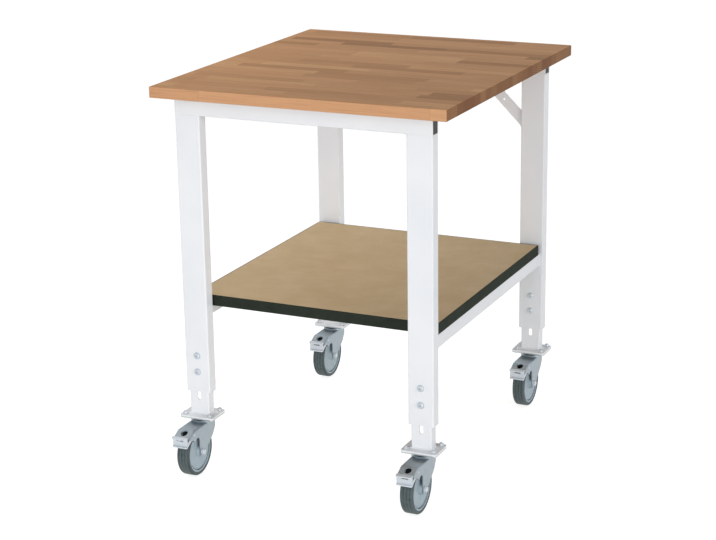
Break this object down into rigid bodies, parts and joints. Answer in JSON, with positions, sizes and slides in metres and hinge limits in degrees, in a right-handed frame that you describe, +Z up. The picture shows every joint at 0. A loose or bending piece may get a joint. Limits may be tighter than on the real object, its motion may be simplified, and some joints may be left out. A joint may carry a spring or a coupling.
{
  "type": "mobile workbench",
  "caption": "Mobile workbench with a solid wood worktop on a white tubular steel frame, a lower shelf, telescopic feet and braked swivel casters.",
  "frame": {"origin": "on the floor under the middle of the worktop, casters standing on the floor", "axes": "+X along the front edge to the right, +Y to the rear, +Z up"},
  "size_m": [0.7, 0.8665, 0.9],
  "materials": {
    "beech": "oiled edge-glued beech lamellae",
    "frame_paint": "satin powder coat",
    "plug_plastic": "moulded matt black",
    "shelf_fibreboard": "smooth sanded fibre board",
    "edge_band": "matt edge band",
    "zinc": "blue zinc plating",
    "bright_steel": "bright zinc plating",
    "wheel_plastic": "moulded grey",
    "tyre_rubber": "soft grey rubber"
  },
  "bodies": {
    "frame": {"worktop": "beech", "front_crossbar": "frame_paint", "rear_crossbar": "frame_paint", "leg_front_left": "frame_paint", "leg_front_right": "frame_paint", "leg_rear_left": "frame_paint", "leg_rear_right": "frame_paint", "brace_left": "frame_paint", "brace_right": "frame_paint", "rail_left": "frame_paint", "rail_right": "frame_paint", "crossbar_plugs": "plug_plastic", "shelf_board": "shelf_fibreboard", "shelf_edging": "edge_band", "worktop_screws": "zinc", "shelf_screws": "zinc", "clamp_bolts": "frame_paint", "clamp_plates": "zinc"},
    "foot_front_left": {"foot_channel_front_left": "frame_paint", "foot_plate_front_left": "frame_paint", "caster_plate_front_left": "zinc", "caster_bolts_front_left": "zinc", "swivel_race_front_left": "plug_plastic"},
    "fork_front_left": {"caster_fork_front_left": "zinc", "axle_bolt_front_left": "bright_steel"},
    "wheel_front_left": {"wheel_core_front_left": "wheel_plastic", "tyre_front_left": "tyre_rubber"},
    "pedal_front_left": {"brake_pedal_front_left": "bright_steel"},
    "foot_front_right": {"foot_channel_front_right": "frame_paint", "foot_plate_front_right": "frame_paint", "caster_plate_front_right": "zinc", "caster_bolts_front_right": "zinc", "swivel_race_front_right": "plug_plastic"},
    "fork_front_right": {"caster_fork_front_right": "zinc", "axle_bolt_front_right": "bright_steel"},
    "wheel_front_right": {"wheel_core_front_right": "wheel_plastic", "tyre_front_right": "tyre_rubber"},
    "pedal_front_right": {"brake_pedal_front_right": "bright_steel"},
    "foot_rear_left": {"foot_channel_rear_left": "frame_paint", "foot_plate_rear_left": "frame_paint", "caster_plate_rear_left": "zinc", "caster_bolts_rear_left": "zinc", "swivel_race_rear_left": "plug_plastic"},
    "fork_rear_left": {"caster_fork_rear_left": "zinc", "axle_bolt_rear_left": "bright_steel"},
    "wheel_rear_left": {"wheel_core_rear_left": "wheel_plastic", "tyre_rear_left": "tyre_rubber"},
    "pedal_rear_left": {"brake_pedal_rear_left": "bright_steel"},
    "foot_rear_right": {"foot_channel_rear_right": "frame_paint", "foot_plate_rear_right": "frame_paint", "caster_plate_rear_right": "zinc", "caster_bolts_rear_right": "zinc", "swivel_race_rear_right": "plug_plastic"},
    "fork_rear_right": {"caster_fork_rear_right": "zinc", "axle_bolt_rear_right": "bright_steel"},
    "wheel_rear_right": {"wheel_core_rear_right": "wheel_plastic", "tyre_rear_right": "tyre_rubber"},
    "pedal_rear_right": {"brake_pedal_rear_right": "bright_steel"}
  },
  "joints": [
    {"name": "foot_slide_front_left", "type": "slide", "parent": "frame", "child": "foot_front_left", "axis": [0, 0, -1], "range_m": [-0.04, 0.06]},
    {"name": "swivel_front_left", "type": "hinge", "parent": "foot_front_left", "child": "fork_front_left", "pos_m": [-0.276, -0.353, 0.12], "axis": [0, 0, 1], "continuous": true},
    {"name": "wheel_spin_front_left", "type": "hinge", "parent": "fork_front_left", "child": "wheel_front_left", "pos_m": [-0.276, -0.397, 0.057], "axis": [1, 0, 0], "continuous": true},
    {"name": "brake_front_left", "type": "hinge", "parent": "fork_front_left", "child": "pedal_front_left", "pos_m": [-0.276, -0.431, 0.109], "axis": [1, 0, 0], "range_deg": [0, 15]},
    {"name": "foot_slide_front_right", "type": "slide", "parent": "frame", "child": "foot_front_right", "axis": [0, 0, -1], "range_m": [-0.04, 0.06]},
    {"name": "swivel_front_right", "type": "hinge", "parent": "foot_front_right", "child": "fork_front_right", "pos_m": [0.276, -0.353, 0.12], "axis": [0, 0, 1], "continuous": true},
    {"name": "wheel_spin_front_right", "type": "hinge", "parent": "fork_front_right", "child": "wheel_front_right", "pos_m": [0.276, -0.397, 0.057], "axis": [1, 0, 0], "continuous": true},
    {"name": "brake_front_right", "type": "hinge", "parent": "fork_front_right", "child": "pedal_front_right", "pos_m": [0.276, -0.431, 0.109], "axis": [1, 0, 0], "range_deg": [0, 15]},
    {"name": "foot_slide_rear_left", "type": "slide", "parent": "frame", "child": "foot_rear_left", "axis": [0, 0, -1], "range_m": [-0.04, 0.06]},
    {"name": "swivel_rear_left", "type": "hinge", "parent": "foot_rear_left", "child": "fork_rear_left", "pos_m": [-0.276, 0.353, 0.12], "axis": [0, 0, 1], "continuous": true},
    {"name": "wheel_spin_rear_left", "type": "hinge", "parent": "fork_rear_left", "child": "wheel_rear_left", "pos_m": [-0.276, 0.309, 0.057], "axis": [1, 0, 0], "continuous": true},
    {"name": "brake_rear_left", "type": "hinge", "parent": "fork_rear_left", "child": "pedal_rear_left", "pos_m": [-0.276, 0.275, 0.109], "axis": [1, 0, 0], "range_deg": [0, 15]},
    {"name": "foot_slide_rear_right", "type": "slide", "parent": "frame", "child": "foot_rear_right", "axis": [0, 0, -1], "range_m": [-0.04, 0.06]},
    {"name": "swivel_rear_right", "type": "hinge", "parent": "foot_rear_right", "child": "fork_rear_right", "pos_m": [0.276, 0.353, 0.12], "axis": [0, 0, 1], "continuous": true},
    {"name": "wheel_spin_rear_right", "type": "hinge", "parent": "fork_rear_right", "child": "wheel_rear_right", "pos_m": [0.276, 0.309, 0.057], "axis": [1, 0, 0], "continuous": true},
    {"name": "brake_rear_right", "type": "hinge", "parent": "fork_rear_right", "child": "pedal_rear_right", "pos_m": [0.276, 0.275, 0.109], "axis": [1, 0, 0], "range_deg": [0, 15]}
  ]
}
